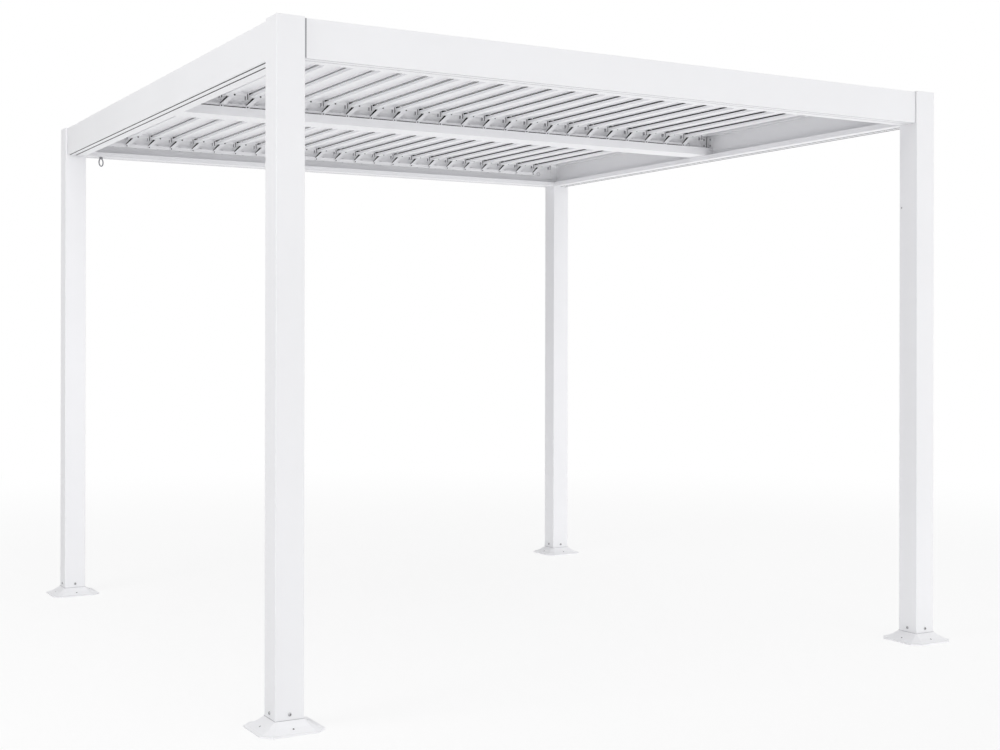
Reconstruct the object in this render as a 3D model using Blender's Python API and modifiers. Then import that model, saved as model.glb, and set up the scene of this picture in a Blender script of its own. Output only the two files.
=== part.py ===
"""White aluminium pergola with two banks of turning roof louvres.

Frame: four square posts on flanged feet, four gutter beams and one middle beam.
Each bank has louvres on end pivots, joined by a tie bar, and a crank eye turns the rear bank.
Metres, +Z up, +X along the front beam, +Y to the rear, origin on the floor under the middle.
"""
import math

import bmesh
import bpy
from mathutils import Matrix, Vector

# Overall frame
frame_length = 2.95      # along X, over the posts
frame_depth = 2.98       # along Y, over the posts
post_height = 2.32

# Posts
post_side = 0.100
post_wall = 0.0025
post_edge_radius = 0.003
drain_radius = 0.005     # in the base plate that closes each post

# Feet, low four-sided covers with cut corners
foot_reach = 0.062       # flange beyond each post face
foot_flange = 0.012      # flat rim round the sloping cover
foot_plate = 0.005
foot_height = 0.036
foot_sag = 0.0015        # the slope dips this far under a straight line
foot_corner_cut = 0.034
foot_neck = 0.002        # cover's top edge beyond the post
foot_neck_cut = 0.004

# Gutter beams, measured inwards from the posts' outer faces
beam_height = 0.130
beam_below_post_top = 0.004
beam_setback = 0.010     # fascia behind the posts' outer faces
beam_web_depth = 0.060   # inner web
beam_wall = 0.0025
beam_sole = 0.0085       # thick underside that carries the two tracks
gutter_lip_height = 0.022
track_depths = (0.022, 0.052)
track_width = 0.003
track_height = 0.006
ledge_past_post = 0.003  # rain ledges on the side webs, beyond the posts' inner faces
left_ledge_drop = 0.001  # over the first louvre's channel, below the beam's top
right_ledge_drop = 0.0085  # under the last louvre's flange
upstand_gap = 0.0052     # last louvre's flange to the upstand on the right ledges

# Middle beam
middle_width = 0.130
middle_box_width = 0.050
middle_lip_below_pivot = 0.053
middle_below_beam_top = 0.001

# Louvres, section sizes measured from the pivot
wanted_louvre_width = 0.1146  # whole louvres that come nearest to it fill the bank
first_pivot_inset = 0.030    # first pivot from the left post's inner face
pivot_below_beam_top = 0.018
louvre_skin = 0.0024
louvre_top = 0.0175
tab_reach = 0.0644
tab_tip = 0.010              # tab's lower edge, above the pivot
tab_gap = 0.0036             # tab to the next louvre's drain channel
channel_right = 0.0206
channel_floor = 0.007
channel_lip_top = 0.004
channel_slope = 0.006
flange_gap = 0.0046          # flange tip to the right side of the channel that it covers

# Louvre ends, pivots and links
front_end_gap = 0.012
rear_end_gap = 0.028
end_plate = 0.003
cap_lip = 0.0006         # cap's outline beyond the blade's section
cap_hem = 0.001          # cap's lower edge beside the pivot, below the pivot's height
cap_tab_gap = 0.007      # cap's tab to the next louvre's cap
cap_tab_width = 0.004
cap_tab_drop = 0.015
cap_flange_top = 0.008   # the rear cap's tab is turned back into a flange
cap_flange_to_web = 0.006
pivot_radius = 0.004
pivot_hole_radius = 0.0048
pivot_past_web = 0.002
pivot_boss = 0.008       # width that the caps keep on the tab's side of the pivot
arm_reach = 0.052
arm_drop = 0.048
arm_radius = 0.008
round_end_points = 4     # along the half circle at the end of an arm or a tie bar
link_pin_radius = 0.003
link_hole_radius = 0.0038
link_past_bar = 0.001
pin_sides = 6
hole_sides = 6

# Tie bars
tie_height = 0.018
tie_above_pins = 0.002   # bar's middle over the line of its pins
tie_thickness = 0.003
tie_gap = 0.0015
tie_end = 0.010

# Crank eye and its gear housing
crank_inset = 0.080      # from the left post's inner face
crank_depth = 0.078      # inwards from the rear face
housing_length = 0.050
housing_width = 0.030
housing_height = 0.022
shank_radius = 0.005
shank_hole_radius = 0.0056
shank_depth = 0.014
collar_radius = 0.009
collar_height = 0.006
collar_drop = 0.002      # below the beam's underside
ring_radius = 0.019
ring_wire_radius = 0.0032
ring_turn = math.radians(45.0)

joint_gap = 0.0003       # between pieces that touch

# Facets and modelling limits
shank_sides = 12
bore_sides = 16
ring_sides = 20
wire_sides = 6
post_edge_steps = 2
weld_distance = 0.00001
flat_angle = math.radians(0.5)
sharp_angle = math.radians(60.0)
blade_smooth_angle = math.radians(30.0)
crank_smooth_angle = math.radians(40.0)

# Places worked out from the sizes above
half_length = frame_length / 2
half_depth = frame_depth / 2
beam_top = post_height - beam_below_post_top
beam_bottom = beam_top - beam_height
pivot_height = beam_top - pivot_below_beam_top
clear_length = frame_length - 2 * post_side
clear_depth = frame_depth - 2 * post_side
louvre_count = round(clear_length / wanted_louvre_width)
louvre_pitch = clear_length / louvre_count
channel_left = louvre_pitch - tab_reach - tab_gap
flange_reach = louvre_pitch - channel_right - flange_gap
cap_tab_right = louvre_pitch - channel_left - cap_lip - cap_tab_gap
first_pivot_x = -half_length + post_side + first_pivot_inset
middle_bottom = beam_bottom + gutter_lip_height + joint_gap
middle_lip_height = pivot_height - middle_lip_below_pivot - middle_bottom
front_bay_start = -half_depth + beam_web_depth
front_bay_end = -middle_box_width / 2
rear_bay_start = middle_box_width / 2
rear_bay_end = half_depth - beam_web_depth
bay_depth = front_bay_end - front_bay_start
louvre_length = bay_depth - front_end_gap - rear_end_gap
white = (0.86, 0.87, 0.88)
metal_white = (0.80, 0.81, 0.83)
chrome = (0.70, 0.71, 0.72)


def clear_scene():
    for item in list(bpy.data.objects):
        bpy.data.objects.remove(item, do_unlink=True)


def make_collection(name):
    collection = bpy.data.collections.new(name)
    bpy.context.scene.collection.children.link(collection)
    return collection


def make_material(name, colour, roughness, metallic):
    material = bpy.data.materials.new(name)
    material.use_nodes = True
    shader = material.node_tree.nodes["Principled BSDF"]
    shader.inputs["Base Color"].default_value = (*colour, 1.0)
    shader.inputs["Roughness"].default_value = roughness
    shader.inputs["Metallic"].default_value = metallic
    return material


def object_from_bmesh(name, bm, collection):
    mesh = bpy.data.meshes.new(name)
    bm.to_mesh(mesh)
    bm.free()
    item = bpy.data.objects.new(name, mesh)
    collection.objects.link(item)
    return item


def as_cutter(item):
    item.hide_render = True
    item.display_type = "WIRE"
    return item


def box(name, low, high, collection):
    """A box between two corners."""
    bm = bmesh.new()
    bmesh.ops.create_cube(bm, size=1.0)
    low = Vector(low)
    high = Vector(high)
    bmesh.ops.scale(bm, vec=high - low, verts=bm.verts)
    bmesh.ops.translate(bm, vec=(low + high) / 2, verts=bm.verts)
    return object_from_bmesh(name, bm, collection)


def add_cylinder(bm, centre, radius, length, turn, sides):
    """A capped cylinder added to bm, centred, its axis turned from Z by the matrix."""
    place = Matrix.Translation(centre) @ turn
    bmesh.ops.create_cone(bm, cap_ends=True, segments=sides, radius1=radius, radius2=radius,
                          depth=length, matrix=place)


def cylinders_along_y(name, centres, radius, length, collection, sides):
    """One object that holds a cylinder along Y at each centre."""
    bm = bmesh.new()
    for centre in centres:
        add_cylinder(bm, Vector(centre), radius, length, Matrix.Rotation(math.pi / 2, 4, "X"), sides)
    return object_from_bmesh(name, bm, collection)


def extrusion(name, outlines, length, collection):
    """A solid of the given outlines in its own XY plane, the first outside and the rest holes,
    from z = 0 to z = length."""
    curve = bpy.data.curves.new(name, "CURVE")
    curve.dimensions = "2D"
    curve.fill_mode = "BOTH"
    curve.extrude = length / 2
    for outline in outlines:
        spline = curve.splines.new("POLY")
        spline.points.add(len(outline) - 1)
        for point, (across, up) in zip(spline.points, outline):
            point.co = (across, up, 0.0, 1.0)
        spline.use_cyclic_u = True
    drawn = bpy.data.objects.new(name + "_outline", curve)
    collection.objects.link(drawn)
    depsgraph = bpy.context.evaluated_depsgraph_get()
    mesh = bpy.data.meshes.new_from_object(drawn.evaluated_get(depsgraph))
    bpy.data.objects.remove(drawn, do_unlink=True)
    bm = bmesh.new()
    bm.from_mesh(mesh)
    bmesh.ops.remove_doubles(bm, verts=bm.verts, dist=weld_distance)
    bmesh.ops.dissolve_limit(bm, angle_limit=flat_angle, verts=bm.verts, edges=bm.edges)
    bmesh.ops.recalc_face_normals(bm, faces=bm.faces)
    bmesh.ops.translate(bm, vec=(0.0, 0.0, length / 2), verts=bm.verts)
    bpy.data.meshes.remove(mesh)
    return object_from_bmesh(name, bm, collection)


def combine(item, other, operation):
    """Join other to item, or cut it out, with an exact Boolean."""
    modifier = item.modifiers.new(operation.lower() + "_" + other.name, "BOOLEAN")
    modifier.operation = operation
    modifier.solver = "EXACT"
    modifier.object = other


def settle(item):
    """Apply an object's modifiers to its mesh."""
    depsgraph = bpy.context.evaluated_depsgraph_get()
    mesh = bpy.data.meshes.new_from_object(item.evaluated_get(depsgraph))
    old = item.data
    item.modifiers.clear()
    item.data = mesh
    mesh.name = item.name
    bpy.data.meshes.remove(old)
    return item


def finish(item, material):
    item.data.materials.clear()
    item.data.materials.append(material)
    return item


def smooth_round_faces(item, angle):
    item.data.shade_smooth()
    item.data.set_sharp_from_angle(angle=angle)


def post_block(name, inset, low, high, collection):
    """A post's solid for the corner at -X -Y, shrunk by inset, with the inner corner cut away above
    the gutter floor so that the beams' webs and gutters meet in a corner."""
    item = box(name, (inset, inset, low), (post_side - inset, post_side - inset, high), collection)
    notch = box(name + "_notch", (beam_web_depth - inset, beam_web_depth - inset,
                                  beam_bottom + beam_wall - inset),
                (2 * post_side, 2 * post_side, post_height + post_side), cutters)
    combine(item, as_cutter(notch), "DIFFERENCE")
    return settle(item)


def foot_cover(name, collection):
    """A foot: a flange with cut corners, and four slightly hollow slopes up to the post."""
    bm = bmesh.new()
    rings = []
    slope_reach = foot_reach - foot_flange
    levels = [(0.0, foot_reach), (foot_plate, foot_reach), (foot_plate + foot_sag, slope_reach),
              ((foot_plate + foot_height) / 2 - foot_sag, (slope_reach + foot_neck) / 2),
              (foot_height, foot_neck)]
    for height, reach in levels:
        share = (reach - foot_neck) / (foot_reach - foot_neck)
        cut = foot_neck_cut + (foot_corner_cut - foot_neck_cut) * share
        low = -reach
        high = post_side + reach
        corners = [(low + cut, low), (high - cut, low), (high, low + cut), (high, high - cut),
                   (high - cut, high), (low + cut, high), (low, high - cut), (low, low + cut)]
        rings.append([bm.verts.new((x, y, height)) for x, y in corners])
    for lower, upper in zip(rings, rings[1:]):
        for index in range(8):
            following = (index + 1) % 8
            bm.faces.new((lower[index], lower[following], upper[following], upper[index]))
    bm.faces.new(list(reversed(rings[0])))
    bm.faces.new(rings[-1])
    return object_from_bmesh(name, bm, collection)


def corner_post(name, mirror_x, mirror_y, collection):
    """A hollow post with a closed top on its foot cover, made for one corner and mirrored."""
    post = post_block(name, 0.0, 0.0, post_height, collection)
    bevel = post.modifiers.new("edges", "BEVEL")
    bevel.width = post_edge_radius
    bevel.segments = post_edge_steps
    bevel.limit_method = "ANGLE"
    bevel.angle_limit = sharp_angle
    settle(post)
    combine(post, as_cutter(foot_cover(name + "_foot", cutters)), "UNION")
    hollow = post_block(name + "_hollow", post_wall, foot_plate, post_height - post_wall, cutters)
    combine(post, as_cutter(hollow), "DIFFERENCE")
    bm = bmesh.new()
    add_cylinder(bm, Vector((post_side / 2, post_side / 2, 0.0)), drain_radius, 4 * foot_plate,
                 Matrix.Identity(4), hole_sides)
    combine(post, as_cutter(object_from_bmesh(name + "_drain", bm, cutters)), "DIFFERENCE")
    settle(post)
    bm = bmesh.new()
    bm.from_mesh(post.data)
    flip = Matrix.Diagonal((-1.0 if mirror_x else 1.0, -1.0 if mirror_y else 1.0, 1.0, 1.0))
    bmesh.ops.transform(bm, matrix=flip, verts=bm.verts)
    if mirror_x != mirror_y:
        bmesh.ops.reverse_faces(bm, faces=bm.faces)
    bm.to_mesh(post.data)
    bm.free()
    post.location = (half_length if mirror_x else -half_length,
                     half_depth if mirror_y else -half_depth, 0.0)
    return finish(post, painted)


def beam_outlines():
    """A gutter beam's section: hollow box, underside tracks, gutter floor and lip."""
    outer = [(beam_setback, 0.0)]
    for depth in track_depths:
        near = depth - track_width / 2
        far = depth + track_width / 2
        outer += [(near, 0.0), (near, track_height), (far, track_height), (far, 0.0)]
    outer += [(post_side, 0.0), (post_side, gutter_lip_height),
              (post_side - beam_wall, gutter_lip_height), (post_side - beam_wall, beam_wall),
              (beam_web_depth, beam_wall), (beam_web_depth, beam_height),
              (beam_setback, beam_height)]
    inner = [(beam_setback + beam_wall, beam_sole),
             (beam_web_depth - beam_wall, beam_sole),
             (beam_web_depth - beam_wall, beam_height - beam_wall),
             (beam_setback + beam_wall, beam_height - beam_wall)]
    return [outer, inner]


def gutter_beam(name, clear, turn, start, collection):
    """A gutter beam whose section X points inwards, laid along its run by a turn about Z."""
    beam = extrusion(name, beam_outlines(), clear - 2 * joint_gap, collection)
    upright = Matrix.Rotation(math.pi / 2, 4, "X")
    beam.data.transform(upright)
    beam.data.transform(Matrix.Translation((0.0, clear - joint_gap, 0.0)))
    beam.data.transform(Matrix.Rotation(turn, 4, "Z"))
    beam.location = (start[0], start[1], beam_bottom)
    return finish(beam, painted)


def left_ledge_outline():
    """A plain ledge over the first louvre's channel, section in world X and Z."""
    tip = -half_length + post_side + ledge_past_post
    web = -half_length + beam_web_depth - beam_wall / 2
    top = beam_top - left_ledge_drop
    return [(tip, top - beam_wall), (tip, top), (web, top), (web, top - beam_wall)]


def right_ledge_outline():
    """A ledge under the last louvre's flange with an upstand beyond the flange."""
    tip = half_length - post_side - ledge_past_post
    web = half_length - beam_web_depth + beam_wall / 2
    low = beam_top - right_ledge_drop
    upstand = first_pivot_x + (louvre_count - 1) * louvre_pitch + flange_reach + upstand_gap
    high = beam_top - left_ledge_drop
    return [(tip, low - beam_wall), (web, low - beam_wall), (web, high), (upstand, high), (upstand, low),
            (tip, low)]


def rain_ledges(beam, outline):
    """Ledges along a side beam's web, one for each bay, that lap the bank's first or last louvres."""
    near = middle_box_width / 2 + joint_gap
    far = half_depth - post_side - joint_gap
    for label, start in (("_front_ledge", -far), ("_rear_ledge", near)):
        ledge = stand_up(extrusion(beam.name + label, [outline], far - near, cutters), start)
        combine(beam, as_cutter(ledge), "UNION")


def pivot_places(web_y):
    """World centres of one web's pivot holes."""
    return [(first_pivot_x + index * louvre_pitch, web_y, pivot_height) for index in range(louvre_count)]


def bore_pivots(item, web_y, label):
    """Bore a web for the louvres' pivots."""
    holes = cylinders_along_y(item.name + label, pivot_places(web_y), pivot_hole_radius,
                              4 * beam_wall, cutters, hole_sides)
    combine(item, as_cutter(holes), "DIFFERENCE")


def middle_outlines():
    """The middle beam's section: a hollow box between two gutters."""
    side = middle_width / 2
    web = middle_box_width / 2
    top = beam_top - middle_below_beam_top - middle_bottom
    outer = [(-side, 0.0), (side, 0.0), (side, middle_lip_height), (side - beam_wall, middle_lip_height),
             (side - beam_wall, beam_wall), (web, beam_wall), (web, top), (-web, top), (-web, beam_wall),
             (-side + beam_wall, beam_wall), (-side + beam_wall, middle_lip_height),
             (-side, middle_lip_height)]
    inner = [(-web + beam_wall, beam_wall), (web - beam_wall, beam_wall),
             (web - beam_wall, top - beam_wall), (-web + beam_wall, top - beam_wall)]
    return [outer, inner]


def middle_beam(name, collection):
    span = frame_length - 2 * beam_web_depth - 2 * joint_gap
    beam = extrusion(name, middle_outlines(), span, collection)
    beam.data.transform(Matrix.Rotation(math.pi / 2, 4, "X"))
    beam.data.transform(Matrix.Rotation(math.pi / 2, 4, "Z"))
    beam.location = (-span / 2, 0.0, middle_bottom)
    return beam


def louvre_outline():
    """The blade's section: drain channel at the left, top skin, short down-turned tab and lapping flange."""
    skin = louvre_skin
    left = -channel_left
    floor = -channel_floor
    lower = [(left, channel_lip_top), (left, floor), (-channel_right, floor),
             (-channel_right + channel_slope, louvre_top - skin),
             (tab_reach - skin, louvre_top - skin), (tab_reach - skin, tab_tip),
             (tab_reach, tab_tip), (tab_reach, louvre_top - skin), (flange_reach, louvre_top - skin)]
    upper = [(flange_reach, louvre_top), (-channel_right + channel_slope - skin, louvre_top),
             (-channel_right - skin, floor + skin), (left + skin, floor + skin),
             (left + skin, channel_lip_top)]
    return lower + upper


def half_round(across, up, radius, direction):
    """Half a circle that bulges in a direction, drawn anticlockwise."""
    outline = []
    for step in range(round_end_points):
        angle = direction - math.pi / 2 + math.pi * step / (round_end_points - 1)
        outline.append((across + radius * math.cos(angle), up + radius * math.sin(angle)))
    return outline


def arm_edge(side, height):
    """Where one edge of the slanting link arm crosses a height; side is +1 above the arm, -1 below."""
    length = math.hypot(arm_reach, arm_drop)
    along = Vector((-arm_reach, -arm_drop)) / length
    across = Vector((-along.y, along.x)) * -side
    reach = (height - across.y * arm_radius) / along.y
    return tuple(along * reach + across * arm_radius)


def arm_end():
    """The round end of the arm about the link pin, from its upper edge to its lower edge."""
    return half_round(-arm_reach, -arm_drop, arm_radius, math.atan2(-arm_drop, -arm_reach))


def rear_cap_outline():
    """The rear cap, a little larger than the section, with the link arm and a tab at the right."""
    left = -channel_left - cap_lip
    floor = -channel_floor - cap_lip
    outline = [(left, channel_lip_top + cap_lip), (left, floor), arm_edge(1, floor)]
    return outline + arm_end() + [arm_edge(-1, -cap_hem)] + cap_tab() + cap_shoulder()


def front_cap_outline():
    """The front cap, the same without the link arm."""
    left = -channel_left - cap_lip
    floor = -channel_floor - cap_lip
    outline = [(left, channel_lip_top + cap_lip), (left, floor), (pivot_boss, floor), (pivot_boss, -cap_hem)]
    return outline + cap_tab() + cap_shoulder()


def cap_tab():
    """The right of a cap: its down-turned tab, then the step out over the blade's own tab."""
    left = cap_tab_right - cap_tab_width
    step = tab_tip - cap_lip
    right = tab_reach + cap_lip
    return [(left, -cap_hem), (left, -cap_tab_drop), (cap_tab_right, -cap_tab_drop),
            (cap_tab_right, step), (right, step), (right, louvre_top + cap_lip)]


def cap_shoulder():
    """The top left of a cap, beside the drain channel."""
    shoulder = -channel_right + channel_slope - louvre_skin - cap_lip
    return [(shoulder, louvre_top + cap_lip), (shoulder - channel_slope, channel_lip_top + cap_lip)]


def stand_up(item, start_y):
    """Turn an extrusion so that its section lies in XZ and it runs along +Y from start_y."""
    depth = max(corner.co.z for corner in item.data.vertices)
    item.data.transform(Matrix.Rotation(math.pi / 2, 4, "X"))
    item.data.transform(Matrix.Translation((0.0, start_y + depth, 0.0)))
    return item


def louvre_blade(collection):
    """One blade about its pivot axis, y = 0 at its front end: skin, two end caps, arm and pins."""
    blade_length = louvre_length - end_plate
    blade = stand_up(extrusion("blade", [louvre_outline()], blade_length, collection), end_plate / 2)
    rear = louvre_length - end_plate
    flange_end = louvre_length + rear_end_gap - cap_flange_to_web
    pieces = [stand_up(extrusion("front_cap", [front_cap_outline()], end_plate, cutters), 0.0),
              stand_up(extrusion("rear_cap", [rear_cap_outline()], end_plate, cutters), rear),
              box("cap_flange",
                  (cap_tab_right - cap_lip - louvre_skin, rear + end_plate / 2, -cap_tab_drop + cap_lip),
                  (cap_tab_right - cap_lip, flange_end, cap_flange_top), cutters)]
    front_pin_end = -front_end_gap - beam_wall - pivot_past_web
    rear_pin_end = louvre_length + rear_end_gap + beam_wall + pivot_past_web
    link_end = louvre_length + tie_gap + tie_thickness + link_past_bar
    pins = (("front_pivot", 0.0, 0.0, pivot_radius, front_pin_end, end_plate / 2),
            ("rear_pivot", 0.0, 0.0, pivot_radius, rear + end_plate / 2, rear_pin_end),
            ("link_pin", -arm_reach, -arm_drop, link_pin_radius, rear + end_plate / 2, link_end))
    for name, across, up, radius, start, end in pins:
        pieces.append(cylinders_along_y(name, [(across, (start + end) / 2, up)], radius, end - start,
                                        cutters, pin_sides))
    for piece in pieces:
        combine(blade, as_cutter(piece), "UNION")
    settle(blade)
    smooth_round_faces(blade, blade_smooth_angle)
    return finish(blade, louvre_paint)


def tie_bar(name, collection):
    """A flat bar with round ends about its first link pin, drilled at each link."""
    radius = tie_height / 2
    far = (louvre_count - 1) * louvre_pitch + tie_end - radius
    outline = half_round(far, tie_above_pins, radius, 0.0)
    outline += half_round(radius - tie_end, tie_above_pins, radius, math.pi)
    bar = stand_up(extrusion(name, [outline], tie_thickness, collection), 0.0)
    places = [(index * louvre_pitch, tie_thickness / 2, 0.0) for index in range(louvre_count)]
    holes = cylinders_along_y(name + "_holes", places, link_hole_radius, 4 * tie_thickness, cutters,
                              hole_sides)
    combine(bar, as_cutter(holes), "DIFFERENCE")
    settle(bar)
    return finish(bar, painted)


def crank_eye(name, collection):
    """The ring that a hand crank hooks into, hanging on its gear shaft."""
    bm = bmesh.new()
    add_cylinder(bm, Vector((0.0, 0.0, (shank_depth - collar_drop - collar_height) / 2)), shank_radius,
                 shank_depth + collar_drop + collar_height, Matrix.Identity(4), shank_sides)
    shank = object_from_bmesh(name, bm, collection)
    bm = bmesh.new()
    add_cylinder(bm, Vector((0.0, 0.0, -collar_drop - collar_height / 2)), collar_radius, collar_height,
                 Matrix.Identity(4), shank_sides)
    collar = object_from_bmesh(name + "_collar", bm, cutters)
    centre = -collar_drop - collar_height - ring_radius
    bpy.ops.mesh.primitive_torus_add(major_radius=ring_radius, minor_radius=ring_wire_radius,
                                     major_segments=ring_sides, minor_segments=wire_sides)
    ring = bpy.context.object
    ring.name = name + "_ring"
    for owner in list(ring.users_collection):
        owner.objects.unlink(ring)
    cutters.objects.link(ring)
    ring.data.transform(Matrix.Translation((0.0, 0.0, centre)) @ Matrix.Rotation(ring_turn, 4, "Z")
                        @ Matrix.Rotation(math.pi / 2, 4, "X"))
    combine(shank, as_cutter(collar), "UNION")
    combine(shank, as_cutter(ring), "UNION")
    settle(shank)
    smooth_round_faces(shank, crank_smooth_angle)
    return finish(shank, plated)


def gear_housing(beam):
    """The gear housing in the rear gutter, joined to the beam and bored for the crank's shaft."""
    x, y = crank_place()
    low = beam_bottom + beam_wall / 2
    body = box("gear_housing", (x - housing_length / 2, y - housing_width / 2, low),
               (x + housing_length / 2, y + housing_width / 2, beam_bottom + housing_height), cutters)
    combine(beam, as_cutter(body), "UNION")
    bm = bmesh.new()
    top = beam_bottom + shank_depth + 2 * joint_gap
    length = 2 * housing_height
    add_cylinder(bm, Vector((x, y, top - length / 2)), shank_hole_radius, length, Matrix.Identity(4),
                 bore_sides)
    bore = object_from_bmesh("gear_bore", bm, cutters)
    combine(beam, as_cutter(bore), "DIFFERENCE")


def crank_place():
    return (-half_length + post_side + crank_inset, half_depth - crank_depth)


def build_frame(collection):
    for name, mirror_x, mirror_y in (("front_left_post", False, False), ("front_right_post", True, False),
                                     ("back_left_post", False, True), ("back_right_post", True, True)):
        corner_post(name, mirror_x, mirror_y, collection)
    quarter = math.pi / 2
    inner_x = half_length - post_side
    inner_y = half_depth - post_side
    left = gutter_beam("left_beam", clear_depth, 0.0, (-half_length, -inner_y), collection)
    right = gutter_beam("right_beam", clear_depth, 2 * quarter, (half_length, inner_y), collection)
    front = gutter_beam("front_beam", clear_length, quarter, (inner_x, -half_depth), collection)
    back = gutter_beam("back_beam", clear_length, -quarter, (-inner_x, half_depth), collection)
    middle = finish(middle_beam("middle_beam", collection), painted)
    rain_ledges(left, left_ledge_outline())
    rain_ledges(right, right_ledge_outline())
    bore_pivots(front, front_bay_start - beam_wall / 2, "_pivot_holes")
    bore_pivots(back, rear_bay_end + beam_wall / 2, "_pivot_holes")
    bore_pivots(middle, front_bay_end + beam_wall / 2, "_front_pivot_holes")
    bore_pivots(middle, rear_bay_start - beam_wall / 2, "_rear_pivot_holes")
    gear_housing(back)
    for beam in (left, right, front, back, middle):
        settle(beam)


def build_banks(collection):
    """Both banks share one blade mesh; each copy stands on its own pivot axis."""
    pattern = louvre_blade(collection)
    for bank, start in (("front", front_bay_start), ("back", rear_bay_start)):
        for index in range(louvre_count):
            copy = bpy.data.objects.new(f"{bank}_louvre_{index + 1:02d}", pattern.data)
            copy.location = (first_pivot_x + index * louvre_pitch, start + front_end_gap, pivot_height)
            collection.objects.link(copy)
        bar = tie_bar(f"{bank}_tie_bar", collection)
        bar.location = (first_pivot_x - arm_reach, start + front_end_gap + louvre_length + tie_gap,
                        pivot_height - arm_drop)
    bpy.data.objects.remove(pattern, do_unlink=True)


def build_crank(collection):
    x, y = crank_place()
    eye = crank_eye("crank_eye", collection)
    eye.location = (x, y, beam_bottom)


clear_scene()
parts = make_collection("louvred_pergola")
cutters = make_collection("cutters")
painted = make_material("white_powder_coat", white, 0.45, 0.0)
louvre_paint = make_material("louvre_powder_coat", metal_white, 0.45, 0.0)
plated = make_material("bright_plating", chrome, 0.22, 1.0)
build_frame(parts)
build_banks(parts)
build_crank(parts)
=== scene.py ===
"""Looks of the louvred roof pergola: materials, small fittings, light and camera."""
import math

import bmesh
import bpy
from mathutils import Matrix, Vector


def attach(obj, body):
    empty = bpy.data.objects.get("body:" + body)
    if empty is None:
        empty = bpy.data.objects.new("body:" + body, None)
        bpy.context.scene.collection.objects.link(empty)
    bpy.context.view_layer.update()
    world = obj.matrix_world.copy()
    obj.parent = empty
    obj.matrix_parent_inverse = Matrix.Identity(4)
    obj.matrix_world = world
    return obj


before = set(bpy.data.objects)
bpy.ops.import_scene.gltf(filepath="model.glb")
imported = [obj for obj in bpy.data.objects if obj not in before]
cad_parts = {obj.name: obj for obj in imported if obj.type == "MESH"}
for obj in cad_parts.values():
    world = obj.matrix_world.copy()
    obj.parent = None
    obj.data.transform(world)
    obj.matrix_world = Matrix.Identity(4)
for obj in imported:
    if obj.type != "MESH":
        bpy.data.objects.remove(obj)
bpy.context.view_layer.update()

# Sizes of the frame that the fittings sit on, in metres
half_length = 1.475
half_depth = 1.49
post_side = 0.100
beam_top = 2.316
beam_bottom = 2.186
beam_setback = 0.010
beam_web_depth = 0.060
track_depths = (0.022, 0.052)
foot_height = 0.036
middle_web = 0.025       # middle beam's webs from the middle
ledge_bottom = 2.305

# Louvres: sizes from the pivot, in the blade's section
louvre_count = 24
louvre_pitch = 0.1145833
first_pivot_x = -1.345
pivot_height = 2.298
louvre_length = 1.365
end_plate = 0.003
bay_starts = {"front": -1.43, "back": 0.025}
front_end_gap = 0.012
cap_tab_right = 0.0604
cap_floor = -0.0078
arm_reach = 0.052
arm_drop = 0.048
arm_radius = 0.008
arm_length = math.hypot(arm_reach, arm_drop)
tie_gap = 0.0015
tie_thickness = 0.003

air = 0.0002             # between a fitting and what carries it

# Strips on the right wall of the drain channel, which leans to the right; the black strip is painted shadow in
# the gap between neighbouring louvres
wall_foot = (-0.0230, -0.0046)
wall_top = (-0.0170, 0.0175)
shadow_strip_low, shadow_strip_high, shadow_strip_thickness = 0.0120, 0.0170, 0.0012
# The flap's black is painted shade at the channel's rear end
flap_left, flap_low, flap_high, flap_inset = -0.0450, 0.0048, 0.0142, 0.0008

# The rear cap's painted shadow strip beside the tab, painted shade plate, painted shadow wedge beside the link
# arm, and screw
tab_shadow_strip_width, tab_shadow_strip_low, tab_shadow_strip_high = 0.0038, -0.0148, 0.0090
# A thin grey plate behind the rear cap, left of its tab: painted shade
shade_plate_x, shade_plate_thickness, shade_plate_low, shade_plate_high = 0.0572, 0.0004, -0.0140, 0.0078
shade_plate_end = 0.0215         # behind the rear cap's front face
shadow_wedge_reach = 0.069        # along the arm, from the pivot
shadow_wedge_top_width, shadow_wedge_foot_width = 0.0075, 0.0030
cap_screw_place = (0.005, 0.0010)

# Black strip along the lower edge of the front tie bar: painted shadow between the bar and the lip below
strip_below_pivot, strip_height, strip_thickness, strip_past_pin = 0.0525, 0.0050, 0.0006, 0.006

plug_drop = 0.042        # plugs in the webs, below the pivots

# Dark inserts in the beams' tracks, as half widths and heights; their dark is painted shade in the grooves
insert_neck, insert_neck_height, insert_head_thickness = 0.0013, 0.0055, 0.0005
side_insert_head, end_insert_head = 0.0032, 0.0016
insert_end_gap = 0.001

# Feet
foot_screw_height, foot_screw_radius, foot_screw_head = 0.055, 0.0062, 0.0032
anchor_reach, anchor_height, anchor_slope = 0.033, 0.01535, math.radians(27.5)
# The grey ring at the top of each foot cover is painted shade in the crease
foot_seam_proud, foot_seam_height = 0.0009, 0.0016

# Gaskets where the fascias meet the posts; the wide dark one at the front left post is a painted shadow beside
# the post's edge
gasket_width, wide_shadow_strip_width, gasket_proud = 0.0022, 0.0080, 0.0004

# Brackets at the middle beam's ends
bracket_thickness, bracket_low, bracket_high = 0.0025, 2.232, ledge_bottom - 0.001
bracket_inner_x, bracket_outer_y = 1.376, 0.060
bracket_screw_heights = (2.290, 2.259)
bracket_screw_x, bracket_screw_y = 1.388, 0.050
bracket_screw_radius, bracket_screw_head = 0.0050, 0.0026
# A thin near-black strip on each bracket leg is a painted shadow line
bracket_strip_x, bracket_strip_thickness = (1.4035, 1.4065), 0.0006

# Screws on the front right post: place along Y and height
inner_screw_place, inner_screw_radius, inner_screw_head = (-1.403, 1.834), 0.0038, 0.0018
outer_screw_place = (-1.462, 2.020)

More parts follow.
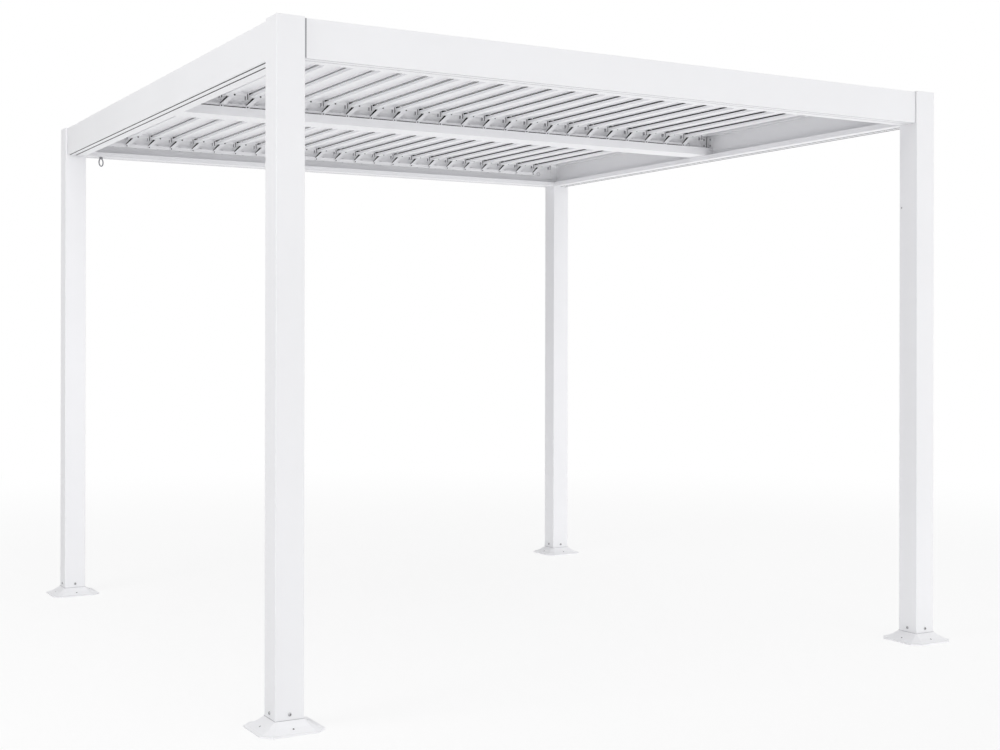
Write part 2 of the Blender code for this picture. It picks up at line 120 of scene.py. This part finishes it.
# Turned forms, as (radius, height) points
cap_screw_head = [(0.0046, 0.0), (0.0046, 0.0005), (0.0038, 0.0009)]
cap_screw_socket = [(0.0032, 0.0008), (0.0029, 0.0011)]
link_pin_head = [(0.0030, 0.0), (0.0028, 0.0007), (0.0016, 0.0011)]
link_clip = [(0.0034, 0.0), (0.0052, 0.0), (0.0052, 0.0006), (0.0034, 0.0006)]
bushing = [(0.0050, 0.0), (0.0085, 0.0), (0.0085, 0.0005), (0.0079, 0.0009), (0.0056, 0.0009),
           (0.0050, 0.0005)]
plug_rim = [(0.0088, 0.0), (0.0118, 0.0), (0.0116, 0.0003), (0.0090, 0.0003)]
anchor_hole = [(0.0032, -0.0010), (0.0032, 0.0003), (0.0028, 0.0004)]
anchor_rim = [(0.0034, 0.0), (0.0048, 0.0), (0.0046, 0.0005), (0.0034, 0.0006)]
round_screw_head = [(0.0045, 0.0), (0.0045, 0.0020), (0.0030, 0.0034)]

# Pan head screws: the profile and the cross recess, as shares of the radius and the height
pan_head = ((1.0, 0.0), (1.0, 0.3), (0.9, 0.7), (0.6, 0.95), (0.3, 1.0))
pan_head_sides = 20
cross_length, cross_width, cross_low, cross_taper = 0.62, 0.14, 0.80, 0.8
cross_proud = 0.0002     # in metres

smooth_angle = math.radians(35.0)


def map_range(tree, value, low, high, from_low=0.0, from_high=1.0):
    """A Map Range node; value, low and high may each be a float or another node's socket."""
    node = tree.nodes.new("ShaderNodeMapRange")
    node.inputs["From Min"].default_value = from_low
    node.inputs["From Max"].default_value = from_high
    for name, given in (("Value", value), ("To Min", low), ("To Max", high)):
        if isinstance(given, float):
            node.inputs[name].default_value = given
        else:
            tree.links.new(given, node.inputs[name])
    return node


def math_node(tree, operation, first, second):
    node = tree.nodes.new("ShaderNodeMath")
    node.operation = operation
    tree.links.new(first, node.inputs[0])
    tree.links.new(second, node.inputs[1])
    return node.outputs["Value"]


def noise(tree, place, scale, detail, roughness):
    node = tree.nodes.new("ShaderNodeTexNoise")
    node.inputs["Scale"].default_value = scale
    node.inputs["Detail"].default_value = detail
    node.inputs["Roughness"].default_value = roughness
    tree.links.new(place, node.inputs["Vector"])
    return node.outputs["Fac"]


def coated(name, base, shade, roughness, spread, grain, bump, metallic=0.0, specular=0.5):
    """Two close tints in a soft cloud, fine grain in the gloss and orange peel in the bump."""
    cloud_scale, shade_below, base_above = 2.2, 0.35, 0.65
    peel_share, peel_height = 0.45, 0.0004
    material = bpy.data.materials.new(name)
    material.use_nodes = True
    tree = material.node_tree
    shader = tree.nodes["Principled BSDF"]
    place = tree.nodes.new("ShaderNodeTexCoord").outputs["Object"]
    tint = tree.nodes.new("ShaderNodeValToRGB")
    tint.color_ramp.elements[0].position = shade_below
    tint.color_ramp.elements[0].color = (*shade, 1.0)
    tint.color_ramp.elements[1].position = base_above
    tint.color_ramp.elements[1].color = (*base, 1.0)
    tree.links.new(noise(tree, place, cloud_scale, 3.0, 0.55), tint.inputs["Fac"])
    tree.links.new(tint.outputs["Color"], shader.inputs["Base Color"])
    speck = noise(tree, place, grain, 2.0, 0.5)
    gloss = map_range(tree, speck, roughness - spread, roughness + spread)
    tree.links.new(gloss.outputs["Result"], shader.inputs["Roughness"])
    raised = tree.nodes.new("ShaderNodeBump")
    raised.inputs["Strength"].default_value = bump
    raised.inputs["Distance"].default_value = peel_height
    tree.links.new(noise(tree, place, grain * peel_share, 1.0, 0.4), raised.inputs["Height"])
    tree.links.new(raised.outputs["Normal"], shader.inputs["Normal"])
    shader.inputs["Metallic"].default_value = metallic
    shader.inputs["Specular IOR Level"].default_value = specular
    return material


frame_paint = coated("frame_powder_coat", (0.885, 0.886, 0.905), (0.870, 0.871, 0.890), 0.45, 0.05, 900.0, 0.25,
                     specular=0.25)
# The louvres' coat is a touch lighter than the frame's: painted light that lifts them against the shade under
# the roof
louvre_paint_with_painted_light = coated("louvre_powder_coat", (0.90, 0.90, 0.92), (0.88, 0.88, 0.90), 0.48, 0.05, 900.0, 0.25,
                      specular=0.25)
# Black of rubber, and of painted shadow: the strips, wedge, flap, socket and pin marks on the louvres, the tie
# bar's strip and the side beams' track inserts
rubber_and_shadow_black = coated("black_rubber_and_painted_shadow", (0.020, 0.020, 0.021), (0.013, 0.013, 0.014), 0.70, 0.08, 1200.0, 0.3,
                specular=0.25)
# Grey of painted shade: the plate behind each cap's tab and the wide strip at the front left post
painted_shade_grey = coated("painted_shade_grey", (0.36, 0.36, 0.38), (0.31, 0.31, 0.33), 0.55, 0.06, 700.0, 0.2)
# Grey of the fascia joints and plug rims, and of painted shade: the crease ring at the feet and the front and
# back beams' track inserts
joint_and_shade_grey = coated("joint_gasket_and_painted_shade", (0.55, 0.55, 0.57), (0.50, 0.50, 0.52), 0.60, 0.06, 700.0, 0.2)
nylon = coated("nylon_bushing", (0.62, 0.62, 0.64), (0.56, 0.56, 0.58), 0.40, 0.05, 500.0, 0.15)
steel = coated("screw_steel", (0.50, 0.50, 0.51), (0.42, 0.42, 0.43), 0.30, 0.08, 1500.0, 0.3, metallic=1.0)
# Near black of painted shade: inside the screws' cross recesses and the anchor holes, and the shadow line on
# the brackets
painted_recess_shade = coated("painted_screw_recess_shade", (0.035, 0.035, 0.037), (0.025, 0.025, 0.026), 0.50, 0.08, 1500.0, 0.2)
crank_metal = coated("crank_plating", (0.36, 0.36, 0.38), (0.28, 0.28, 0.30), 0.24, 0.06, 800.0, 0.2,
                     metallic=1.0)
for name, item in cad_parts.items():
    if name == "crank_eye":
        paint = crank_metal
    else:
        paint = louvre_paint_with_painted_light if "louvre" in name else frame_paint
    item.data.materials.clear()
    item.data.materials.append(paint)


def rectangle(low_a, low_b, high_a, high_b):
    return [(low_a, low_b), (high_a, low_b), (high_a, high_b), (low_a, high_b)]


def shifted(outline, across, up):
    return [(a + across, b + up) for a, b in outline]


def add_prism(bm, outline, axis, start, end, slot=0):
    """A closed prism of an outline in the two other axes, from start to end along the axis."""
    def corner(across, up, along):
        if axis == "X":
            return (along, across, up)
        if axis == "Y":
            return (across, along, up)
        return (across, up, along)
    low = [bm.verts.new(corner(a, b, start)) for a, b in outline]
    high = [bm.verts.new(corner(a, b, end)) for a, b in outline]
    faces = [bm.faces.new(low), bm.faces.new(list(reversed(high)))]
    for index in range(len(outline)):
        following = (index + 1) % len(outline)
        faces.append(bm.faces.new((low[index], high[index], high[following], low[following])))
    for face in faces:
        face.material_index = slot


def add_upright(bm, xs, ys, low, high, slot=0):
    """An upright block between two places along X and two along Y, each pair in any order."""
    add_prism(bm, rectangle(min(xs), min(ys), max(xs), max(ys)), "Z", low, high, slot)


def place_on(centre, direction):
    """A matrix that puts the local origin at the centre, local Z along the direction."""
    turn = Vector(direction).normalized().to_track_quat("Z", "Y").to_matrix().to_4x4()
    return Matrix.Translation(centre) @ turn


def add_turned(bm, place, profile, sides, slot=0, ring=False):
    """A turned form of (radius, height) points; a ring closes on itself and has a hole."""
    rings = []
    for radius, height in profile:
        loop = []
        for index in range(sides):
            angle = 2 * math.pi * index / sides
            point = Vector((radius * math.cos(angle), radius * math.sin(angle), height))
            loop.append(bm.verts.new(place @ point))
        rings.append(loop)
    faces = []
    pairs = list(zip(rings, rings[1:]))
    if ring:
        pairs.append((rings[-1], rings[0]))
    else:
        faces += [bm.faces.new(list(reversed(rings[0]))), bm.faces.new(rings[-1])]
    for lower, upper in pairs:
        for index in range(sides):
            following = (index + 1) % sides
            faces.append(bm.faces.new((lower[index], lower[following], upper[following], upper[index])))
    for face in faces:
        face.material_index = slot


def add_recess_bar(bm, place, half_a, half_b, low, high, slot):
    """One bar of a cross recess, narrower at the top, raised in a dark slot as painted shade."""
    corners = [(-half_a, -half_b), (half_a, -half_b), (half_a, half_b), (-half_a, half_b)]
    bottom = [bm.verts.new(place @ Vector((a, b, low))) for a, b in corners]
    top = [bm.verts.new(place @ Vector((a * cross_taper, b * cross_taper, high))) for a, b in corners]
    faces = [bm.faces.new(list(reversed(bottom))), bm.faces.new(top)]
    for index in range(4):
        following = (index + 1) % 4
        faces.append(bm.faces.new((bottom[index], bottom[following], top[following], top[index])))
    for face in faces:
        face.material_index = slot


def add_screw(bm, centre, direction, radius, height, metal=0, dark=1):
    """A pan head with a cross recess whose dark bars are painted shade."""
    place = place_on(Vector(centre) + Vector(direction).normalized() * air, direction)
    add_turned(bm, place, [(radius * across, height * up) for across, up in pan_head], pan_head_sides, metal)
    long_half, short_half = cross_length * radius, cross_width * radius
    for half_a, half_b in ((long_half, short_half), (short_half, long_half)):
        add_recess_bar(bm, place, half_a, half_b, cross_low * height, height + cross_proud, dark)


def make_piece(name, bm, body, materials):
    """A mesh object of what bm holds, with its materials, riding on the body."""
    bmesh.ops.recalc_face_normals(bm, faces=bm.faces)
    mesh = bpy.data.meshes.new(name)
    bm.to_mesh(mesh)
    bm.free()
    for material in materials:
        mesh.materials.append(material)
    mesh.shade_smooth()
    mesh.set_sharp_from_angle(angle=smooth_angle)
    item = bpy.data.objects.new(name, mesh)
    bpy.context.scene.collection.objects.link(item)
    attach(item, body)


def arm_side(reach, offset):
    """A point beside the link arm: so far from the pivot along it, and so far above its middle line."""
    along = Vector((-arm_reach, -arm_drop)) / arm_length
    across = Vector((along.y, -along.x))
    point = along * reach + across * offset
    return (point.x, point.y)


def channel_wall_x(height):
    """Where the right wall of the drain channel is at a height."""
    lean = (wall_top[0] - wall_foot[0]) / (wall_top[1] - wall_foot[1])
    return wall_foot[0] + lean * (height - wall_foot[1])


def joint_shadow_strip_outline():
    """A thin black strip that follows the wall's lean: painted shadow in the gap between neighbouring louvres.
    """
    low_x = channel_wall_x(shadow_strip_low) - air
    high_x = channel_wall_x(shadow_strip_high) - air
    return [(low_x, shadow_strip_low), (high_x, shadow_strip_high), (high_x - shadow_strip_thickness, shadow_strip_high),
            (low_x - shadow_strip_thickness, shadow_strip_low)]


def end_flap_outline():
    """A flap that closes the drain channel's rear end under the lapping flange; its black is painted shade in
    that corner.
    """
    low_x = channel_wall_x(flap_low) - flap_inset
    high_x = channel_wall_x(flap_high) - flap_inset
    return [(flap_left, flap_low), (low_x, flap_low), (high_x, flap_high), (flap_left, flap_high)]


def arm_shadow_wedge_outline():
    """A black wedge that fills the corner between the cap's floor and the link arm's upper edge: painted shadow
    beside the arm.
    """
    edge = arm_radius + air
    foot = arm_side(shadow_wedge_reach, edge)
    foot_out = arm_side(shadow_wedge_reach, edge + shadow_wedge_foot_width)
    top_x = foot[0] + (cap_floor - foot[1]) * arm_reach / arm_drop
    top_out_x = top_x - shadow_wedge_top_width * arm_length / arm_drop
    return [foot, (top_x, cap_floor), (top_out_x, cap_floor), foot_out]


def louvre_fittings(bank, index):
    """Painted shadow strips of one louvre (on the channel wall and beside the cap's tab), its flap, painted
    shadow wedge by the arm and painted shade plate, its cap's screw and its link pin's head.
    """
    x = first_pivot_x + index * louvre_pitch
    y = bay_starts[bank] + front_end_gap
    rear = y + louvre_length - end_plate
    tab_shadow_strip = rectangle(cap_tab_right + air, tab_shadow_strip_low, cap_tab_right + tab_shadow_strip_width, tab_shadow_strip_high)
    shade_plate = rectangle(shade_plate_x - shade_plate_thickness, shade_plate_low, shade_plate_x, shade_plate_high)
    bm = bmesh.new()
    for outline, start, end, slot in (
            (joint_shadow_strip_outline(), y + end_plate + air, rear - air, 0),
            (tab_shadow_strip, rear, rear + end_plate, 0),
            (end_flap_outline(), rear + air, rear + end_plate - air, 0),
            (arm_shadow_wedge_outline(), rear + air, rear + end_plate - air, 0),
            (shade_plate, rear + end_plate + air, rear + shade_plate_end, 1)):
        add_prism(bm, shifted(outline, x, pivot_height), "Y", start, end, slot)
    place = place_on((x + cap_screw_place[0], rear - air, pivot_height + cap_screw_place[1]), (0, -1, 0))
    add_turned(bm, place, cap_screw_head, 16, 2)
    # The black socket is painted shade in the screw's socket
    add_turned(bm, place, cap_screw_socket, 12)
    place = place_on((x - arm_reach, rear - air, pivot_height - arm_drop), (0, -1, 0))
    # A real pin head, black as painted shade at the arm's lower end
    add_turned(bm, place, link_pin_head, 14)
    body = f"{bank}_louvre_{index + 1:02d}"
    make_piece(body + "_fittings", bm, body, [rubber_and_shadow_black, painted_shade_grey, steel])


def tie_bar_clips_and_shadow_strip(bank):
    """The clip behind each link pin, and the black edge strip along the front bank's bar, a painted shadow
    between the bar and the lip below.
    """
    front = bay_starts[bank] + front_end_gap + louvre_length + tie_gap
    back = front + tie_thickness + air
    first = first_pivot_x - arm_reach
    last = first + (louvre_count - 1) * louvre_pitch
    low = pivot_height - strip_below_pivot
    bm = bmesh.new()
    if bank == "front":
        strip = rectangle(first - strip_past_pin, low, last + strip_past_pin, low + strip_height)
        add_prism(bm, strip, "Y", front - strip_thickness, front - air)
    for index in range(louvre_count):
        place = place_on((first + index * louvre_pitch, back, pivot_height - arm_drop), (0, 1, 0))
        add_turned(bm, place, link_clip, 12, 1, ring=True)
    make_piece(bank + "_tie_bar_clips_and_shadow_strip", bm, bank + "_tie_bar", [rubber_and_shadow_black, steel])


def pivot_bushings(name, web_y, direction, plug_rims=False):
    """The flanged bushings of one web's pivot holes, and the rims of the plugs under them."""
    bm = bmesh.new()
    for index in range(louvre_count):
        x = first_pivot_x + index * louvre_pitch
        place = place_on((x, web_y + direction * air, pivot_height), (0, direction, 0))
        add_turned(bm, place, bushing, 18, ring=True)
        if plug_rims:
            place = place_on((x, web_y + direction * air, pivot_height - plug_drop), (0, direction, 0))
            add_turned(bm, place, plug_rim, 24, 1, ring=True)
    make_piece(name, bm, "frame", [nylon, joint_and_shade_grey])


def track_inserts(name, side, along_x, material, head):
    """The two inserts in the tracks under one beam, dark as painted shade in the grooves; side is -1 for the
    left and front beams.
    """
    bm = bmesh.new()
    outer = half_depth if along_x else half_length
    run = (half_length if along_x else half_depth) - post_side - insert_end_gap
    neck, shoulder = insert_neck, beam_bottom - air
    foot, top = beam_bottom - insert_head_thickness, beam_bottom + insert_neck_height
    outline = [(-head, foot), (head, foot), (head, shoulder), (neck, shoulder), (neck, top), (-neck, top),
               (-neck, shoulder), (-head, shoulder)]
    for depth in track_depths:
        middle = side * (outer - depth)
        add_prism(bm, shifted(outline, middle, 0.0), "X" if along_x else "Y", -run, run)
    make_piece(name, bm, "frame", [material])


def foot_fittings(name, side_x, side_y):
    """A post's base screws, the anchor holes in its flange as dark discs of painted shade, and a grey ring of
    painted shade in the crease at the top of the cover.
    """
    half = post_side / 2
    centre = Vector((side_x * (half_length - half), side_y * (half_depth - half), 0.0))
    bm = bmesh.new()
    for direction in (Vector((1, 0, 0)), Vector((-1, 0, 0)), Vector((0, 1, 0)), Vector((0, -1, 0))):
        screw = centre + direction * half + Vector((0, 0, foot_screw_height))
        add_screw(bm, screw, direction, foot_screw_radius, foot_screw_head)
        normal = direction * math.sin(anchor_slope) + Vector((0, 0, math.cos(anchor_slope)))
        hole = centre + direction * (half + anchor_reach) + Vector((0, 0, anchor_height)) + normal * air
        place = place_on(hole, normal)
        # The anchor hole is a near-black disc of painted shade
        add_turned(bm, place, anchor_hole, 18, 1)
        add_turned(bm, place, anchor_rim, 18, 2, ring=True)
    make_piece(name + "_foot_screws", bm, "frame", [steel, painted_recess_shade, frame_paint])
    bm = bmesh.new()
    inner, outer = half + air, half + foot_seam_proud
    low, high = foot_height + air, foot_height + foot_seam_height
    rings = []
    for extent, height in ((inner, low), (outer, low), (outer, high), (inner, high)):
        rings.append([bm.verts.new(centre + Vector((a * extent, b * extent, height)))
                      for a, b in ((-1, -1), (1, -1), (1, 1), (-1, 1))])
    for lower, upper in zip(rings, rings[1:] + rings[:1]):
        for index in range(4):
            following = (index + 1) % 4
            bm.faces.new((lower[index], lower[following], upper[following], upper[index]))
    make_piece(name + "_foot_crease_shade", bm, "frame", [joint_and_shade_grey])


def beam_joint_seams():
    """The gaskets where the fascias meet the posts; the front beam's left one is wide and dark, a painted
    shadow beside the post's edge.
    """
    bm = bmesh.new()
    for side_x in (-1, 1):
        for side_y in (-1, 1):
            # The wide dark strip at the front left post is painted shadow
            dark = side_x == -1 and side_y == -1
            width = wide_shadow_strip_width if dark else gasket_width
            x = side_x * (half_length - post_side)
            y = side_y * (half_depth - beam_setback + air)
            add_upright(bm, (x, x - side_x * width), (y, y + side_y * gasket_proud), beam_bottom, beam_top,
                        1 if dark else 0)
            x = side_x * (half_length - beam_setback + air)
            y = side_y * (half_depth - post_side)
            add_upright(bm, (x, x + side_x * gasket_proud), (y, y - side_y * gasket_width), beam_bottom,
                        beam_top)
    make_piece("fascia_joint_seams", bm, "frame", [joint_and_shade_grey, painted_shade_grey])


def middle_brackets():
    """Angle brackets that hold the middle beam's ends to the side beams' webs."""
    bm = bmesh.new()
    for side_x in (-1, 1):
        for side_y in (-1, 1):
            web_x = side_x * (half_length - beam_web_depth - air)
            web_y = side_y * (middle_web + air)
            leg_x = web_x - side_x * bracket_thickness
            leg_y = web_y + side_y * bracket_thickness
            add_upright(bm, (side_x * bracket_inner_x, web_x), (web_y, leg_y), bracket_low, bracket_high)
            add_upright(bm, (web_x, leg_x), (leg_y, side_y * bracket_outer_y), bracket_low, bracket_high)
            for height in bracket_screw_heights:
                add_screw(bm, (side_x * bracket_screw_x, leg_y, height), (0, side_y, 0),
                          bracket_screw_radius, bracket_screw_head, 1, 2)
                add_screw(bm, (leg_x, side_y * bracket_screw_y, height), (-side_x, 0, 0),
                          bracket_screw_radius, bracket_screw_head, 1, 2)
            # Painted shadow line on the bracket leg
            add_upright(bm, [side_x * x for x in bracket_strip_x],
                        (leg_y, leg_y + side_y * bracket_strip_thickness), bracket_low, bracket_high, 2)
    make_piece("middle_beam_brackets", bm, "frame", [frame_paint, steel, painted_recess_shade])


def post_screws():
    """The small screws on the front right post."""
    bm = bmesh.new()
    add_screw(bm, (half_length - post_side, *inner_screw_place), (-1, 0, 0), inner_screw_radius,
              inner_screw_head)
    place = place_on((half_length + air, *outer_screw_place), (1, 0, 0))
    add_turned(bm, place, round_screw_head, 16)
    make_piece("post_screws", bm, "frame", [steel, painted_recess_shade])


for bank in bay_starts:
    for index in range(louvre_count):
        louvre_fittings(bank, index)
    tie_bar_clips_and_shadow_strip(bank)
pivot_bushings("front_beam_bushings", -half_depth + beam_web_depth, 1)
pivot_bushings("middle_beam_front_bushings", -middle_web, -1, True)
pivot_bushings("middle_beam_rear_bushings", middle_web, 1)
pivot_bushings("back_beam_bushings", half_depth - beam_web_depth, -1, True)
track_inserts("left_beam_track_inserts", -1, False, rubber_and_shadow_black, side_insert_head)
track_inserts("right_beam_track_inserts", 1, False, rubber_and_shadow_black, side_insert_head)
track_inserts("front_beam_track_inserts", -1, True, joint_and_shade_grey, end_insert_head)
track_inserts("back_beam_track_inserts", 1, True, joint_and_shade_grey, end_insert_head)
for name, side_x, side_y in (("front_left_post", -1, -1), ("front_right_post", 1, -1),
                             ("back_left_post", -1, 1), ("back_right_post", 1, 1)):
    foot_fittings(name, side_x, side_y)
beam_joint_seams()
middle_brackets()
post_screws()


def background_rays(tree):
    """1 for the rays that see the studio itself: camera, glossy and transmission."""
    path = tree.nodes.new("ShaderNodeLightPath")
    pair = math_node(tree, "MAXIMUM", path.outputs["Is Camera Ray"], path.outputs["Is Glossy Ray"])
    return math_node(tree, "MAXIMUM", pair, path.outputs["Is Transmission Ray"])


def make_floor():
    """Matt and pale, white to the eye far out, with a fill light that is stronger to the right."""
    radius, drop = 40.0, 0.0005
    near, far, near_white = 2.5, 8.0, 0.80
    fill_reach, fill_strength = 3.0, 0.44
    bm = bmesh.new()
    bmesh.ops.create_circle(bm, cap_ends=True, segments=96, radius=radius)
    mesh = bpy.data.meshes.new("floor")
    bm.to_mesh(mesh)
    bm.free()
    item = bpy.data.objects.new("floor", mesh)
    item.location.z = -drop
    bpy.context.scene.collection.objects.link(item)
    material = bpy.data.materials.new("studio_floor")
    material.use_nodes = True
    tree = material.node_tree
    nodes, links = tree.nodes, tree.links
    nodes.clear()
    looking = background_rays(tree)
    place = nodes.new("ShaderNodeTexCoord").outputs["Object"]
    reach = nodes.new("ShaderNodeVectorMath")
    reach.operation = "LENGTH"
    links.new(place, reach.inputs[0])
    fade = map_range(tree, reach.outputs["Value"], near_white, 1.0, near, far)
    fade.interpolation_type = "SMOOTHSTEP"
    split = nodes.new("ShaderNodeSeparateXYZ")
    links.new(place, split.inputs["Vector"])
    slope = map_range(tree, split.outputs["X"], 0.0, fill_strength, -fill_reach, fill_reach)
    level = map_range(tree, looking, slope.outputs["Result"], 0.0)
    diffuse = nodes.new("ShaderNodeBsdfDiffuse")
    diffuse.inputs["Color"].default_value = (0.92, 0.92, 0.92, 1.0)
    fill = nodes.new("ShaderNodeEmission")
    links.new(level.outputs["Result"], fill.inputs["Strength"])
    lit = nodes.new("ShaderNodeAddShader")
    links.new(diffuse.outputs["BSDF"], lit.inputs[0])
    links.new(fill.outputs["Emission"], lit.inputs[1])
    bright = nodes.new("ShaderNodeEmission")
    bright.inputs["Color"].default_value = (1.0, 1.0, 1.0, 1.0)
    bright.inputs["Strength"].default_value = 1.0
    mix = nodes.new("ShaderNodeMixShader")
    links.new(math_node(tree, "MULTIPLY", fade.outputs["Result"], looking), mix.inputs["Fac"])
    links.new(lit.outputs["Shader"], mix.inputs[1])
    links.new(bright.outputs["Emission"], mix.inputs[2])
    out = nodes.new("ShaderNodeOutputMaterial")
    links.new(mix.outputs["Shader"], out.inputs["Surface"])
    item.data.materials.append(material)


def make_world():
    """White to the eye; as a light it falls off toward the left side."""
    light, dim, full_at, dim_at = 0.68, 0.12, 0.1, -1.0
    world = bpy.data.worlds.new("studio")
    bpy.context.scene.world = world
    world.use_nodes = True
    tree = world.node_tree
    background = tree.nodes["Background"]
    background.inputs["Color"].default_value = (1.0, 1.0, 1.0, 1.0)
    place = tree.nodes.new("ShaderNodeTexCoord")
    split = tree.nodes.new("ShaderNodeSeparateXYZ")
    tree.links.new(place.outputs["Generated"], split.inputs["Vector"])
    shade = map_range(tree, split.outputs["X"], dim, light, dim_at, full_at)
    level = map_range(tree, background_rays(tree), shade.outputs["Result"], 1.0)
    tree.links.new(level.outputs["Result"], background.inputs["Strength"])


def hang_lamp(data, direction):
    """An object of the lamp, shining along the direction."""
    item = bpy.data.objects.new(data.name, data)
    item.rotation_mode = "QUATERNION"
    item.rotation_quaternion = direction.to_track_quat("-Z", "Y")
    bpy.context.scene.collection.objects.link(item)
    return item


def sun_lamp(name, direction, angle, power):
    data = bpy.data.lights.new(name, "SUN")
    data.angle = math.radians(angle)
    data.energy = power
    hang_lamp(data, Vector(direction))


def soft_box(name, place, aim, size, power):
    data = bpy.data.lights.new(name, "AREA")
    data.shape = "SQUARE"
    data.size = size
    data.energy = power
    item = hang_lamp(data, Vector(aim) - Vector(place))
    item.location = place
    item.visible_camera = False
    item.visible_glossy = False


def make_camera():
    """The camera that was fitted to the photo's post, beam and foot edges."""
    place = (-3.1500, -5.8627, 1.2630)
    yaw, roll = 0.52045, 0.0017
    focal_px, image_width, horizon_row_px, image_height = 1438.3, 1000, 341.36, 750
    sensor_width, view_distance = 36.0, 200.0
    forward = Vector((math.sin(yaw), math.cos(yaw), 0.0))
    level = Vector((math.cos(yaw), -math.sin(yaw), 0.0))
    upright = Vector((0.0, 0.0, 1.0))
    right = level * math.cos(roll) + upright * math.sin(roll)
    up = upright * math.cos(roll) - level * math.sin(roll)
    data = bpy.data.cameras.new("camera")
    data.sensor_width = sensor_width
    data.lens = focal_px / image_width * sensor_width
    data.shift_y = (horizon_row_px - image_height / 2) / image_width
    data.clip_end = view_distance
    item = bpy.data.objects.new("camera", data)
    turn = Matrix((right, up, -forward)).transposed().to_4x4()
    item.matrix_world = Matrix.Translation(place) @ turn
    bpy.context.scene.collection.objects.link(item)
    bpy.context.scene.camera = item


make_floor()
make_world()
sun_lamp("key", (0.05, 0.98, -0.12), 40.0, 0.66)
sun_lamp("top", (0.10, 0.30, -0.95), 60.0, 0.52)
soft_box("side", (-6.5, -1.8, 4.0), (-0.5, 0.0, 1.2), 3.0, 126.0)
make_camera()
scene = bpy.context.scene
scene.view_settings.view_transform = "Standard"
